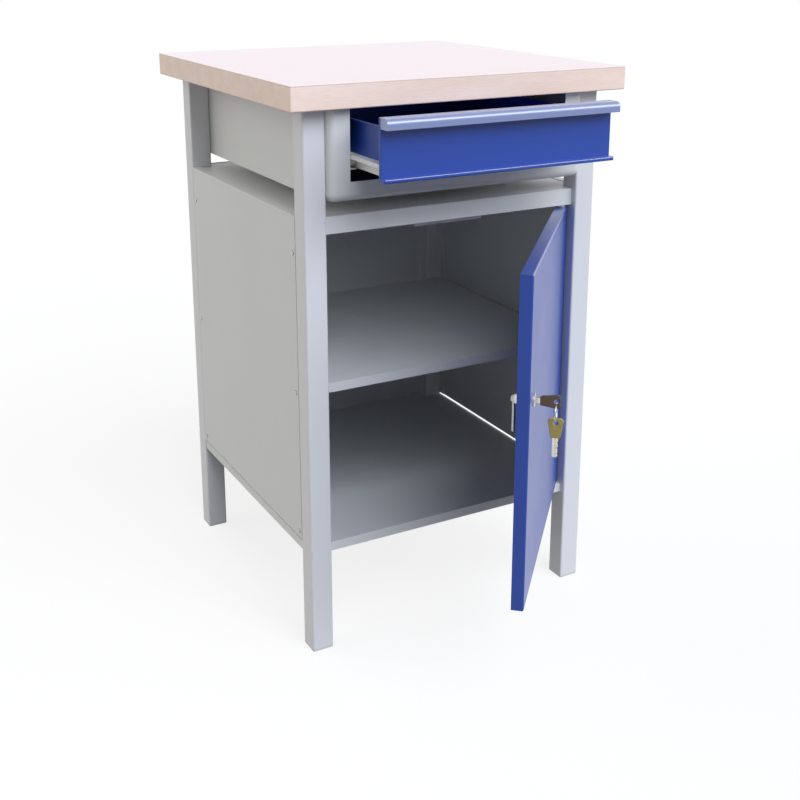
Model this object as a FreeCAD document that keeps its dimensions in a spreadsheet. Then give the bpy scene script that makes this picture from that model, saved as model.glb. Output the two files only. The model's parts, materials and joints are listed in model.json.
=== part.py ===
import FreeCAD, Part
import math
import os
import re
import Sketcher

os.makedirs("parts", exist_ok=True)
doc = FreeCAD.newDocument("workbench")

# Driving sizes, in millimetres and degrees. Heights are counted from the floor.
SIZES = [
    ("bench_height", 890, "floor to the top of the worktop"),
    ("bench_width", 510, "over the legs, left to right"),
    ("bench_depth", 510, "over the legs, front to rear"),
    ("top_thickness", 36, "worktop slab"),
    ("top_overhang", 30, "worktop past the legs, all round"),
    ("top_round", 2, "eased edges of the slab"),
    ("leg_size", 35, "outside of the square leg tube"),
    ("leg_wall", 1.5, "wall of the leg tube"),
    ("leg_round", 3, "outside corner radius of the leg tube"),
    ("plug_head", 5, "foot plug under the tube"),
    ("plug_round", 2.5, "rounded edge of the foot plug"),
    ("plug_depth", 20, "foot plug inside the tube"),
    ("sheet_gauge", 1, "steel sheet of cabinet, carcass, drawer and door"),
    ("seat_gap", 0.3, "play between pieces that are put together"),
    ("run_gap", 0.05, "radial play of a shaft in its hole"),
    ("overrun", 4, "how far a cutter passes the face that it cuts"),
    ("shelf_slit", 3, "side panel's lower edge above the bottom shelf"),
    ("panel_fold", 14, "fold along the top of a side panel"),
    ("angle_leg", 15, "leg of the angle irons and shelf rails"),
    ("angle_gauge", 1.5, "gauge of the angle irons and shelf rails"),
    ("rivet_radius", 2, "shank of a panel rivet"),
    ("rivet_head_radius", 4, "head of a panel rivet"),
    ("rivet_head_height", 1.4, "height of a rivet head"),
    ("rivet_inset", 9, "rivet to the end of the panel, front and rear"),
    ("rivet_low_space", 11, "lowest rivets above the panel's lower edge"),
    ("rivet_high_space", 56, "highest rivets below the panel's top"),
    ("carcass_height", 136, "drawer carcass, under the worktop"),
    ("carcass_proud", 10, "carcass front ahead of the legs' front faces"),
    ("carcass_back_inset", 19, "carcass back from the legs' rear faces"),
    ("carcass_pan", 24, "depth of the carcass front pan"),
    ("carcass_round", 12, "rounded edges of the carcass front pan"),
    ("carcass_fold", 25, "folds under the worktop"),
    ("opening_width", 372, "drawer opening in the carcass front"),
    ("opening_sill", 29, "carcass front below the drawer opening"),
    ("screw_radius", 2.2, "shank of the worktop and shelf screws"),
    ("screw_head_radius", 4.5, "head of those screws"),
    ("screw_head_height", 2.5, "height of their heads"),
    ("screw_depth", 20, "screw in the worktop"),
    ("screw_pitch", 190, "worktop screws, front to rear"),
    ("shelf_screw_end", 4, "shelf screw past the wall of the leg"),
    ("slot_height", 22, "open slot between carcass and cabinet"),
    ("cabinet_recess", 10, "cabinet front and back from the legs' outer faces"),
    ("rail_height", 26, "front fold of the cabinet's top sheet"),
    ("tray_fold", 12, "side folds of the cabinet's top sheet"),
    ("middle_shelf_height", 429, "top of the middle shelf"),
    ("middle_lip", 15, "folded edge of the middle shelf"),
    ("bottom_shelf_height", 178, "top of the bottom shelf"),
    ("bottom_lip", 15, "folded edge of the bottom shelf"),
    ("bottom_set_in", 1.5, "bottom shelf behind the side panels' outer faces"),
    ("rail_end_space", 20, "shelf rail to the ends of the side panel"),
    ("door_thickness", 18, "door pan, front to back"),
    ("door_gap", 4, "door to the leg, each side"),
    ("door_foot_gap", 2, "door to the bottom shelf"),
    ("door_head_gap", 4, "door to the cabinet's top rail"),
    ("door_round", 2.5, "rounded edges of the door"),
    ("door_lip", 12, "inward fold round the back of the door"),
    ("door_pivot_inset", 9, "hinge axis from the door's edge and face"),
    ("door_open", 48, "angle of the door at rest"),
    ("stiffener_width", 60, "hat section down the middle of the door"),
    ("stiffener_end_space", 14, "stiffener to the door's ends"),
    ("pin_radius", 3, "hinge pins"),
    ("pin_engage", 14, "hinge pin inside the door"),
    ("collar_radius", 6, "collar that the door runs on"),
    ("pin_nut_height", 4, "nut under the lower pin"),
    ("pin_nut_radius", 5.5, "nut under the lower pin, over its corners"),
    ("bracket_width", 26, "upper hinge bracket"),
    ("bracket_reach", 20, "upper hinge bracket, front to rear"),
    ("stop_width", 120, "door stop under the cabinet's top sheet"),
    ("stop_overlap", 5, "door stop behind the door's top edge"),
    ("lock_height", 480, "centre of the lock"),
    ("lock_inset", 38, "centre of the lock from the door's free edge"),
    ("lock_radius", 8, "threaded barrel of the lock"),
    ("lock_flange_radius", 10, "flange on the door's face"),
    ("lock_flange", 2, "thickness of that flange"),
    ("lock_nut_radius", 13, "lock nut over its corners"),
    ("lock_nut_height", 5, "lock nut"),
    ("plug_radius", 6, "turning plug of the lock"),
    ("plug_stand", 0.6, "plug in front of its flange"),
    ("cam_gap", 0.4, "cam behind the leg when it locks"),
    ("cam_thickness", 2.5, "cam plate"),
    ("cam_width", 14, "cam plate"),
    ("cam_overlap", 6, "cam behind the leg"),
    ("cam_screw_radius", 2.5, "screw that holds the cam"),
    ("cam_screw_head", 4.5, "its head's radius"),
    ("cam_screw_depth", 6, "screw in the plug"),
    ("key_thickness", 2.2, "key blades"),
    ("key_width", 8, "key blades"),
    ("key_depth", 14, "key in the plug"),
    ("key_neck", 6.5, "flange to the key's bow"),
    ("bow_length", 28, "key bow along the key"),
    ("bow_height", 21, "key bow across the key"),
    ("bow_thickness", 3.2, "moulded key bow"),
    ("bow_round", 6, "corners of the bows"),
    ("bow_hole", 3.6, "hole for the ring"),
    ("bow_hole_inset", 6, "ring hole from the bow's end"),
    ("ring_radius", 13, "key ring, to the middle of its wire"),
    ("ring_wire", 1, "radius of the ring's wire"),
    ("spare_bow_width", 23, "spare key's bow"),
    ("spare_bow_height", 29, "spare key's bow"),
    ("spare_blade", 28, "spare key's blade below its bow"),
    ("drawer_open", 99, "drawer pulled out at rest"),
    ("front_thickness", 5, "drawer front pan"),
    ("front_overlay", 6.5, "drawer front past the opening, each side"),
    ("front_gap", 1, "closed drawer front to the carcass"),
    ("front_foot_gap", 17, "drawer front above the opening's sill"),
    ("front_head_gap", 2, "drawer front to the worktop"),
    ("front_round", 2, "rounded edges of the drawer front"),
    ("lip_reach", 11, "lower lip in front of the drawer front"),
    ("lip_height", 6, "lower lip"),
    ("lip_round", 2, "rounded edge of the lower lip"),
    ("grip_reach", 20, "grip in front of the drawer front"),
    ("grip_drop", 15, "grip from its top to its lower edge"),
    ("grip_round", 8, "rounded nose of the grip"),
    ("grip_gauge", 1.5, "sheet of the grip"),
    ("grip_return", 6, "inward fold of the grip's lower edge"),
    ("runner_space", 13, "drawer side to the opening's edge"),
    ("box_length", 440, "drawer tray, front to rear"),
    ("box_height", 69, "drawer tray's side"),
    ("box_floor", 2, "tray floor above the sides' lower edge"),
    ("box_hem", 4, "fold along the top of the drawer's sides"),
    ("box_back_drop", 6, "drawer back below the top of the sides"),
    ("runner_floor", 19, "drawer runner above the opening's sill"),
    ("runner_height", 20, "drawer runner"),
    ("runner_gauge", 1.2, "sheet of the runners"),
    ("runner_play", 0.5, "drawer runner to the opening's edge"),
    ("runner_lip", 6, "down-turned lip of the drawer runner"),
    ("channel_gap", 1, "channel web outside the opening's edge"),
    ("channel_drop", 1.5, "channel below the drawer runner"),
    ("channel_reach", 11.5, "channel's lower flange"),
    ("channel_end_space", 36, "channel to the carcass back"),
    ("support_height", 72, "web that carries a channel"),
    ("support_foot", 28, "foot of that web on the carcass floor"),
    ("roller_radius", 8.5, "runner rollers"),
    ("roller_width", 7.5, "runner rollers"),
    ("roller_gap", 1.3, "roller to the drawer runner's web"),
    ("roller_inset", 12, "roller to the end of its runner"),
    ("roller_pin", 2.5, "pin of a roller"),
    ("front_screw_radius", 3.5, "heads of the screws inside the drawer front"),
    ("front_screw_head", 1.8, "height of those heads"),
    ("front_screw_pitch", 240, "those screws, left to right"),
]

# Places that several pieces share, worked out from the sizes, closed and centred on the legs.
PLACES = [
    ("top_underside", "bench_height - top_thickness"),
    ("leg_outer", "bench_width / 2"),
    ("leg_inner", "bench_width / 2 - leg_size"),
    ("leg_front", "-bench_depth / 2"),
    ("leg_behind", "-bench_depth / 2 + leg_size"),
    ("panel_inside", "leg_outer - sheet_gauge"),
    ("carcass_bottom", "top_underside - carcass_height"),
    ("panel_top", "carcass_bottom - slot_height"),
    ("cabinet_top_height", "panel_top - sheet_gauge"),
    ("panel_bottom", "bottom_shelf_height + shelf_slit"),
    ("panel_end", "bench_depth / 2 - leg_size - seat_gap"),
    ("angle_high", "cabinet_top_height - tray_fold - door_foot_gap"),
    ("rivet_low", "panel_bottom + rivet_low_space"),
    ("rivet_high", "panel_top - rivet_high_space"),
    ("rivet_row", "panel_end - rivet_inset"),
    ("carcass_front", "leg_front - carcass_proud"),
    ("carcass_wall_front", "carcass_front + carcass_pan"),
    ("carcass_rear", "bench_depth / 2 - carcass_back_inset"),
    ("opening_half", "opening_width / 2"),
    ("sill_top", "carcass_bottom + opening_sill"),
    ("screw_column", "leg_inner - carcass_fold / 2"),
    ("cabinet_front", "leg_front + cabinet_recess"),
    ("cabinet_rear", "bench_depth / 2 - cabinet_recess"),
    ("rail_bottom", "cabinet_top_height - rail_height"),
    ("shelf_half", "panel_inside - angle_gauge - rivet_head_height - seat_gap"),
    ("shelf_end", "bench_depth / 2 - leg_size - angle_gauge - seat_gap"),
    ("shelf_foot", "middle_shelf_height - middle_lip"),
    ("bottom_half", "leg_outer - bottom_set_in"),
    ("bottom_foot", "bottom_shelf_height - bottom_lip"),
    ("door_half", "leg_inner - door_gap"),
    ("door_face", "cabinet_front"),
    ("door_back", "door_face + door_thickness"),
    ("door_bottom", "bottom_shelf_height + door_foot_gap"),
    ("door_top", "rail_bottom - door_head_gap"),
    ("pivot_x", "door_half - door_pivot_inset"),
    ("pivot_y", "door_face + door_pivot_inset"),
    ("lock_x", "-door_half + lock_inset"),
    ("flange_face", "door_face - lock_flange"),
    ("cam_face", "leg_behind + cam_gap"),
    ("cam_length", "lock_inset + door_gap + cam_overlap - cam_width / 2"),
    ("bow_start", "flange_face - plug_stand - key_neck"),
    ("bow_end", "bow_start - bow_length"),
    ("ring_y", "bow_end + bow_hole_inset"),
    ("ring_top", "lock_height - bow_hole + ring_wire + seat_gap"),
    ("ring_height", "ring_top - ring_radius"),
    ("spare_hole", "ring_height - ring_radius - bow_hole + ring_wire + seat_gap"),
    ("spare_bow_top", "spare_hole + bow_hole_inset + ring_wire"),
    ("spare_bow_foot", "spare_bow_top - spare_bow_height"),
    ("front_back", "carcass_front - front_gap"),
    ("front_face", "front_back - front_thickness"),
    ("front_half", "opening_half + front_overlay"),
    ("front_foot", "sill_top + front_foot_gap"),
    ("front_head", "top_underside - front_head_gap"),
    ("grip_nose", "front_face - grip_reach"),
    ("grip_foot", "front_head - grip_drop"),
    ("box_half", "opening_half - runner_space"),
    ("box_foot", "sill_top + runner_floor"),
    ("box_top", "box_foot + box_height"),
    ("box_rear", "front_back + box_length"),
    ("runner_top", "box_foot + runner_height"),
    ("runner_outside", "opening_half - runner_play"),
    ("channel_inside", "opening_half + channel_gap"),
    ("channel_foot", "box_foot - channel_drop"),
    ("channel_front", "carcass_front + sheet_gauge + seat_gap"),
    ("channel_rear", "carcass_rear - channel_end_space"),
    ("support_inside", "channel_inside + runner_gauge"),
    ("roller_inner", "box_half + runner_gauge + roller_gap"),
    ("front_roller_y", "channel_front + roller_inset"),
    ("front_roller_z", "runner_top - runner_gauge - seat_gap - roller_radius"),
    ("rear_roller_y", "box_rear - roller_inset"),
    ("rear_roller_z", "channel_foot + runner_gauge + seat_gap + roller_radius"),
    ("ring_out", "(pivot_x - lock_x + ring_radius) * sin(door_open) + ring_wire"),
    ("ring_ahead", "(pivot_y - ring_y) * cos(door_open)"),
    ("setback", "-(pivot_y - ring_out - ring_ahead + bench_depth / 2 + top_overhang) / 2"),
    ("swing_x", "pivot_x - pivot_x * cos(door_open) + pivot_y * sin(door_open)"),
    ("swing_y", "pivot_y - pivot_x * sin(door_open) - pivot_y * cos(door_open) + setback"),
    ("drawer_y", "setback - drawer_open"),
]

SIZE_NAMES = [row[0] for row in SIZES]
PLACE_NAMES = [row[0] for row in PLACES]
QUARTER_TURN = 90


def formula(text):
    """Turn a formula of size and place names into an expression of this document."""
    def owner(match):
        word = match.group()
        if word in SIZE_NAMES:
            return "sizes." + word
        return "places." + word if word in PLACE_NAMES else word
    return re.sub(r"[a-z_]+", owner, str(text))


def make_sheet():
    """Write the driving sizes into the spreadsheet, one row each."""
    sheet = doc.addObject("Spreadsheet::Sheet", "sizes")
    for row, (name, value, meaning) in enumerate(SIZES, start=1):
        sheet.set("A%d" % row, name)
        sheet.set("B%d" % row, str(value))
        sheet.set("C%d" % row, meaning)
        sheet.setAlias("B%d" % row, name)
    doc.recompute()
    return sheet


def make_places():
    """Keep the shared places as bound properties."""
    places = doc.addObject("App::VarSet", "places")
    for name, text in PLACES:
        places.addProperty("App::PropertyFloat", name, "Places")
    for name, text in PLACES:
        places.setExpression(name, formula(text))
    doc.recompute()
    return places


sizes = make_sheet()
places = make_places()

# Every finished sub-part is listed here, in the order in which it is made.
finished = []


def bind(item, **formulas):
    """Bind properties of an item; a double underscore stands for a dot."""
    for name, text in formulas.items():
        item.setExpression(name.replace("__", "."), formula(text))
    return item


def block(x, y, z, name="block"):
    """Make a box between two formulas along each axis."""
    item = doc.addObject("Part::Box", name)
    bind(item, Placement__Base__x=x[0], Placement__Base__y=y[0], Placement__Base__z=z[0])
    return bind(
        item,
        Length="(%s) - (%s)" % (x[1], x[0]),
        Width="(%s) - (%s)" % (y[1], y[0]),
        Height="(%s) - (%s)" % (z[1], z[0]),
    )


def rod(start, axis, radius, length, name="rod"):
    """Make a cylinder that runs from its start along +X, +Y or +Z."""
    turns = {
        "X": FreeCAD.Rotation(FreeCAD.Vector(0, 1, 0), QUARTER_TURN),
        "Y": FreeCAD.Rotation(FreeCAD.Vector(1, 0, 0), -QUARTER_TURN),
        "Z": FreeCAD.Rotation(),
    }
    item = doc.addObject("Part::Cylinder", name)
    item.Placement = FreeCAD.Placement(FreeCAD.Vector(), turns[axis])
    bind(item, Placement__Base__x=start[0], Placement__Base__y=start[1], Placement__Base__z=start[2])
    return bind(item, Radius=radius, Height=length)


def hexagon(start, axis, radius, length):
    """Make a six-sided nut blank that runs from its start along +Y or +Z."""
    item = doc.addObject("Part::Prism", "hexagon")
    if axis == "Y":
        item.Placement = FreeCAD.Placement(
            FreeCAD.Vector(), FreeCAD.Rotation(FreeCAD.Vector(1, 0, 0), -QUARTER_TURN))
    bind(item, Placement__Base__x=start[0], Placement__Base__y=start[1], Placement__Base__z=start[2])
    return bind(item, Circumradius=radius, Height=length)


def group(items, name="group"):
    """Hold several solids as one compound."""
    item = doc.addObject("Part::Compound", name)
    item.Links = items
    return item


def joined(*items):
    """Fuse pieces that are one folded or welded piece."""
    item = doc.addObject("Part::MultiFuse", "joined")
    item.Shapes = list(items)
    item.Refine = True
    return item


def less(base, *tools):
    """Cut tools from a base."""
    item = doc.addObject("Part::Cut", "cut")
    item.Base = base
    item.Tool = tools[0] if len(tools) == 1 else group(list(tools))
    return item


def mirrored(source, name="mirrored"):
    """Make the right-hand twin of a left-hand piece."""
    item = doc.addObject("Part::Mirroring", name)
    item.Source = source
    item.Normal = FreeCAD.Vector(1, 0, 0)
    return item


def origin_plane(body, role):
    """Find one of a body's own origin planes."""
    return next(plane for plane in body.Origin.OriginFeatures if plane.Role == role)


def rectangle(body, x, y, height):
    """Draw a bound rectangle on a body's XY plane, raised to a height."""
    sketch = body.newObject("Sketcher::SketchObject", "outline")
    sketch.AttachmentSupport = [(origin_plane(body, "XY_Plane"), "")]
    sketch.MapMode = "FlatFace"
    bind(sketch, AttachmentOffset__Base__z=height)
    places_at = [(x[0], y[0]), (x[1], y[0]), (x[1], y[1]), (x[0], y[1])]
    draft = [FreeCAD.Vector(0, 0), FreeCAD.Vector(1, 0), FreeCAD.Vector(1, 1), FreeCAD.Vector(0, 1)]
    for corner, point in enumerate(draft):
        sketch.addGeometry(Part.LineSegment(point, draft[(corner + 1) % len(draft)]), False)
    for corner in range(len(draft)):
        sketch.addConstraint(Sketcher.Constraint("Coincident", corner, 2, (corner + 1) % len(draft), 1))
    for corner, (across, along) in enumerate(places_at):
        rows = (("DistanceX", across, draft[corner].x), ("DistanceY", along, draft[corner].y))
        for kind, text, value in rows:
            number = sketch.addConstraint(Sketcher.Constraint(kind, -1, 1, corner, 1, value))
            sketch.setExpression("Constraints[%d]" % number, formula(text))
    return sketch


def padded_body(x, y, z, name="body"):
    """Make a body with one padded rectangle between two heights."""
    body = doc.addObject("PartDesign::Body", name)
    pad = body.newObject("PartDesign::Pad", "pad")
    pad.Profile = rectangle(body, x, y, z[0])
    body.Tip = pad
    bind(pad, Length="(%s) - (%s)" % (z[1], z[0]))
    doc.recompute()
    return body


def rounded(body, radius, chosen):
    """Round the edges of a body that a test on their end points picks."""
    base = body.Tip
    names = []
    for number, edge in enumerate(base.Shape.Edges, start=1):
        if chosen(edge.Vertexes[0].Point, edge.Vertexes[-1].Point):
            names.append("Edge%d" % number)
    fillet = body.newObject("PartDesign::Fillet", "rounding")
    fillet.Base = (base, names)
    bind(fillet, Radius=radius)
    body.Tip = fillet
    doc.recompute()
    return body


def same(first, second):
    """Say whether two lengths agree."""
    return math.isclose(first, second, abs_tol=sizes.run_gap / 2)


def upright(start, end):
    return same(start.x, end.x) and same(start.y, end.y)


def on_plane(axis, value):
    """Make a test for edges that lie in the plane where an axis has this value."""
    return lambda start, end: same(getattr(start, axis), value) and same(getattr(end, axis), value)


def on_line(depth, height):
    """Make a test for edges that run left to right at one depth and height."""
    return lambda start, end: on_plane("y", depth)(start, end) and on_plane("z", height)(start, end)


def placed(item, label, rest="bench"):
    """Name a finished sub-part and put it where it is at rest."""
    if item.isDerivedFrom("Part::Primitive"):
        item = group([item])
    item.Label = label
    if rest == "bench":
        bind(item, Placement__Base__y="setback")
    if rest == "drawer":
        bind(item, Placement__Base__y="drawer_y")
    if rest == "door":
        bind(item, Placement__Base__x="swing_x", Placement__Base__y="swing_y")
        bind(item, Placement__Rotation__Angle="door_open")
    finished.append(item)
    return item


def pair(item, left_label, right_label, rest="bench"):
    """Place a left-hand piece and its mirrored twin."""
    placed(item, left_label, rest)
    twin = mirrored(item)
    twin.Label = right_label
    finished.append(twin)


def shelf_screw_rod(across, along, radius, near, far):
    """Rod along X at a screw of the bottom shelf, between two reaches from the leg's inner face."""
    start = "-leg_inner + (%s)" % near if across < 0 else "leg_inner - (%s)" % far
    depth = "%d * (bench_depth / 2 - leg_size / 2)" % along
    return rod((start, depth, "bottom_foot + bottom_lip / 2"), "X", radius, "(%s) - (%s)" % (far, near))


def leg_and_plug(corner, across, along):
    """Square tube leg with its plastic foot plug, at one corner of the bench."""
    def span(half, sign, inset):
        near = "%d * (%s / 2 - leg_size + %s)" % (sign, half, inset)
        far = "%d * (%s / 2 - %s)" % (sign, half, inset)
        return (near, far) if sign > 0 else (far, near)

    outside_x = span("bench_width", across, "0")
    outside_y = span("bench_depth", along, "0")
    inside_x = span("bench_width", across, "leg_wall")
    inside_y = span("bench_depth", along, "leg_wall")
    tube = padded_body(outside_x, outside_y, ("plug_head", "top_underside"))
    rounded(tube, "leg_round", upright)
    bore = padded_body(inside_x, inside_y, ("plug_head - overrun", "top_underside + overrun"))
    rounded(bore, "leg_round - leg_wall", upright)
    hole = shelf_screw_rod(across, along, "screw_radius", "-leg_wall - overrun", "overrun")
    placed(less(tube, bore, hole), "leg_" + corner)

    head = rounded(padded_body(outside_x, outside_y, ("0", "plug_head")), "leg_round", upright)
    rounded(head, "plug_round", on_plane("z", 0))
    plug_x = span("bench_width", across, "(leg_wall + seat_gap)")
    plug_y = span("bench_depth", along, "(leg_wall + seat_gap)")
    insert = padded_body(plug_x, plug_y, ("plug_head / 2", "plug_head + plug_depth"))
    rounded(insert, "leg_round - leg_wall", upright)
    placed(joined(head, insert), "foot_plug_" + corner)


def top_screw_places():
    """Worktop screws: three along each side fold of the carcass."""
    for side in (-1, 1):
        for step in (-1, 0, 1):
            yield "%d * screw_column" % side, "%d * screw_pitch" % step


def top_screw_holes(radius, low, high):
    """Cutters for the worktop screws."""
    return [rod((x, y, low), "Z", radius, "(%s) - (%s)" % (high, low)) for x, y in top_screw_places()]


def worktop():
    """Thick slab with eased edges and pilot holes from below."""
    half_x = "(leg_outer + top_overhang)"
    half_y = "(bench_depth / 2 + top_overhang)"
    slab = padded_body(("-" + half_x, half_x), ("-" + half_y, half_y), ("top_underside", "bench_height"))
    rounded(slab, "top_round", lambda start, end: True)
    pilots = top_screw_holes("screw_radius", "top_underside - overrun", "top_underside + screw_depth")
    placed(less(slab, *pilots), "worktop")


def worktop_screws():
    """Screws that hold the slab down on the folds."""
    screws = []
    for x, y in top_screw_places():
        seat = "(top_underside - sheet_gauge)"
        shank = rod((x, y, seat), "Z", "screw_radius", "sheet_gauge + screw_depth")
        head = rod((x, y, seat + " - screw_head_height"), "Z", "screw_head_radius", "screw_head_height")
        screws.append(joined(shank, head))
    placed(group(screws), "worktop_screws")


def pan_edges(face, floor, top):
    """Test for the front edges and lower corners of a pan that is open at the top."""
    def chosen(start, end):
        low_corner = on_plane("z", floor)(start, end) and same(start.x, end.x)
        ahead = on_plane("y", face)(start, end) and not on_plane("z", top)(start, end)
        return low_corner or ahead
    return chosen


def carcass():
    """Sheet-steel housing of the drawer, hung between the legs under the slab."""
    wall = block(
        ("-leg_inner", "-leg_inner + sheet_gauge"), ("carcass_wall_front", "carcass_rear"),
        ("carcass_bottom", "top_underside"))
    fold = block(
        ("-leg_inner", "-leg_inner + carcass_fold"), ("carcass_wall_front", "carcass_rear - sheet_gauge"),
        ("top_underside - sheet_gauge", "top_underside"))
    holes = [
        rod(("-screw_column", "%d * screw_pitch" % step, "top_underside - overrun"), "Z",
            "screw_radius", "2 * overrun")
        for step in (-1, 0, 1)
    ]
    pair(less(joined(wall, fold), *holes), "carcass_left", "carcass_right")

    outer = padded_body(
        ("-leg_inner", "leg_inner"), ("carcass_front", "carcass_wall_front"),
        ("carcass_bottom", "top_underside"))
    rounded(outer, "carcass_round", pan_edges(
        places.carcass_front, places.carcass_bottom, places.top_underside))
    hollow = padded_body(
        ("-leg_inner + sheet_gauge", "leg_inner - sheet_gauge"),
        ("carcass_front + sheet_gauge", "carcass_wall_front + carcass_pan"),
        ("carcass_bottom + sheet_gauge", "top_underside + carcass_pan"))
    rounded(hollow, "carcass_round - sheet_gauge", pan_edges(
        places.carcass_front + sizes.sheet_gauge, places.carcass_bottom + sizes.sheet_gauge,
        places.top_underside + sizes.carcass_pan))
    opening = block(
        ("-opening_half", "opening_half"), ("carcass_front - overrun", "carcass_wall_front"),
        ("sill_top", "top_underside + overrun"))
    placed(less(outer, hollow, opening), "carcass_front")

    placed(block(
        ("-leg_inner + sheet_gauge", "leg_inner - sheet_gauge"), ("carcass_wall_front", "carcass_rear"),
        ("carcass_bottom", "carcass_bottom + sheet_gauge")), "carcass_floor")
    web = block(
        ("-leg_inner + sheet_gauge", "leg_inner - sheet_gauge"),
        ("carcass_rear - sheet_gauge", "carcass_rear"), ("carcass_bottom + sheet_gauge", "top_underside"))
    ledge = block(
        ("-leg_inner + carcass_fold", "leg_inner - carcass_fold"),
        ("carcass_rear - carcass_fold", "carcass_rear"), ("top_underside - sheet_gauge", "top_underside"))
    placed(joined(web, ledge), "carcass_back")


def runner_channels():
    """Fixed half of the roller runners: a web on the carcass floor and a channel on it."""
    floor = "(carcass_bottom + sheet_gauge)"
    web = block(
        ("-support_inside - runner_gauge", "-support_inside"), ("carcass_wall_front", "channel_rear"),
        (floor, floor + " + support_height"))
    foot = block(
        ("-support_inside - support_foot", "-support_inside"), ("carcass_wall_front", "channel_rear"),
        (floor, floor + " + runner_gauge"))
    pair(joined(web, foot), "runner_support_left", "runner_support_right")

    channel_top = "(runner_top + channel_drop + runner_gauge)"
    side = block(
        ("-channel_inside - runner_gauge", "-channel_inside"), ("channel_front", "channel_rear"),
        ("channel_foot", channel_top))
    track = block(
        ("-channel_inside - runner_gauge", "-channel_inside + channel_reach"),
        ("channel_front", "channel_rear"), ("channel_foot", "channel_foot + runner_gauge"))
    cover = block(
        ("-channel_inside - runner_gauge", "-channel_inside + runner_lip"),
        ("channel_front", "channel_rear"), (channel_top + " - runner_gauge", channel_top))
    pin = rod(
        ("-channel_inside - runner_gauge", "front_roller_y", "front_roller_z"), "X",
        "roller_pin", "channel_inside + runner_gauge - roller_inner + roller_gap / 2")
    pair(joined(side, track, cover, pin), "runner_channel_left", "runner_channel_right")


def roller(y, z):
    """Nylon roller with its bore, on the left side."""
    wheel = rod(("-roller_inner - roller_width", y, z), "X", "roller_radius", "roller_width")
    bore = rod(("-roller_inner - roller_width - overrun", y, z), "X", "roller_pin + run_gap",
               "roller_width + 2 * overrun")
    return less(wheel, bore)


def rollers():
    """Two rollers on the channels and two on the drawer, each pair on one axis."""
    front = roller("front_roller_y", "front_roller_z")
    placed(group([front, mirrored(front)]), "front_rollers")
    rear = roller("rear_roller_y", "rear_roller_z")
    placed(group([rear, mirrored(rear)]), "rear_rollers", "drawer")


def rivet_places():
    """Height and depth of the rivets of one side panel."""
    for height in ("rivet_low", "(shelf_foot + middle_shelf_height) / 2", "rivet_high"):
        for side in (-1, 1):
            yield "%d * rivet_row" % side, height


def side_panels():
    """Sheet sides between the legs, on angle irons; they end just above the bottom shelf."""
    ends = ("-panel_end", "panel_end")
    sheet = block(("-leg_outer", "-panel_inside"), ends, ("panel_bottom", "panel_top"))
    fold = block(("-leg_outer", "-leg_outer + panel_fold"), ends, ("cabinet_top_height", "panel_top"))
    holes = [
        rod(("-leg_outer - overrun", y, z), "X", "rivet_radius", "2 * overrun") for y, z in rivet_places()
    ]
    pair(less(joined(sheet, fold), *holes), "side_panel_left", "side_panel_right")

    irons = []
    for side in (-1, 1):
        face = "%d * (bench_depth / 2 - leg_size)" % side
        at_leg = [face, "%d * (bench_depth / 2 - leg_size - angle_gauge)" % side]
        at_panel = [face, "%d * (bench_depth / 2 - leg_size - angle_leg)" % side]
        if side > 0:
            at_leg.reverse()
            at_panel.reverse()
        heights = ("panel_bottom", "angle_high")
        on_leg = block(("-panel_inside", "-panel_inside + angle_leg"), at_leg, heights)
        on_panel = block(("-panel_inside", "-panel_inside + angle_gauge"), at_panel, heights)
        irons.append(joined(on_leg, on_panel))
    holes = [
        rod(("-leg_outer - overrun", y, z), "X", "rivet_radius", "sheet_gauge + angle_gauge + 2 * overrun")
        for y, z in rivet_places()
    ]
    pair(less(group(irons), *holes), "panel_angles_left", "panel_angles_right")


def panel_rivets():
    """Rivets through the panels and their angle irons."""
    rivets = []
    for y, z in rivet_places():
        shank = rod(("-leg_outer", y, z), "X", "rivet_radius", "sheet_gauge + angle_gauge")
        head = rod(("-leg_outer - rivet_head_height", y, z), "X", "rivet_head_radius", "rivet_head_height")
        upset = rod(("-panel_inside + angle_gauge", y, z), "X", "rivet_radius * 3 / 2", "rivet_head_height")
        rivet = joined(shank, head, upset)
        rivets += [rivet, mirrored(rivet)]
    placed(group(rivets), "panel_rivets")


def back_panel():
    """Sheet back of the cabinet, between the rear legs."""
    placed(block(
        ("-leg_inner + seat_gap", "leg_inner - seat_gap"), ("cabinet_rear", "cabinet_rear + sheet_gauge"),
        ("bottom_foot", "panel_top")), "back_panel")


def notched_tray(half, fold, top):
    """Sheet with folded edges all round, notched at the four legs."""
    neck = "(leg_inner - seat_gap)"
    side_end = "panel_end"
    outer = joined(
        block(("-" + half, half), ("-" + side_end, side_end), ("%s - %s" % (top, fold), top)),
        block(("-" + neck, neck), ("cabinet_front", "cabinet_rear"), ("%s - %s" % (top, fold), top)))
    depth = ("%s - %s - overrun" % (top, fold), top + " - sheet_gauge")
    inner = joined(
        block(("-%s + sheet_gauge" % half, half + " - sheet_gauge"),
              ("-%s + sheet_gauge" % side_end, side_end + " - sheet_gauge"), depth),
        block(("-%s + sheet_gauge" % neck, neck + " - sheet_gauge"),
              ("cabinet_front + sheet_gauge", "cabinet_rear - sheet_gauge"), depth))
    return less(outer, inner)


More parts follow.
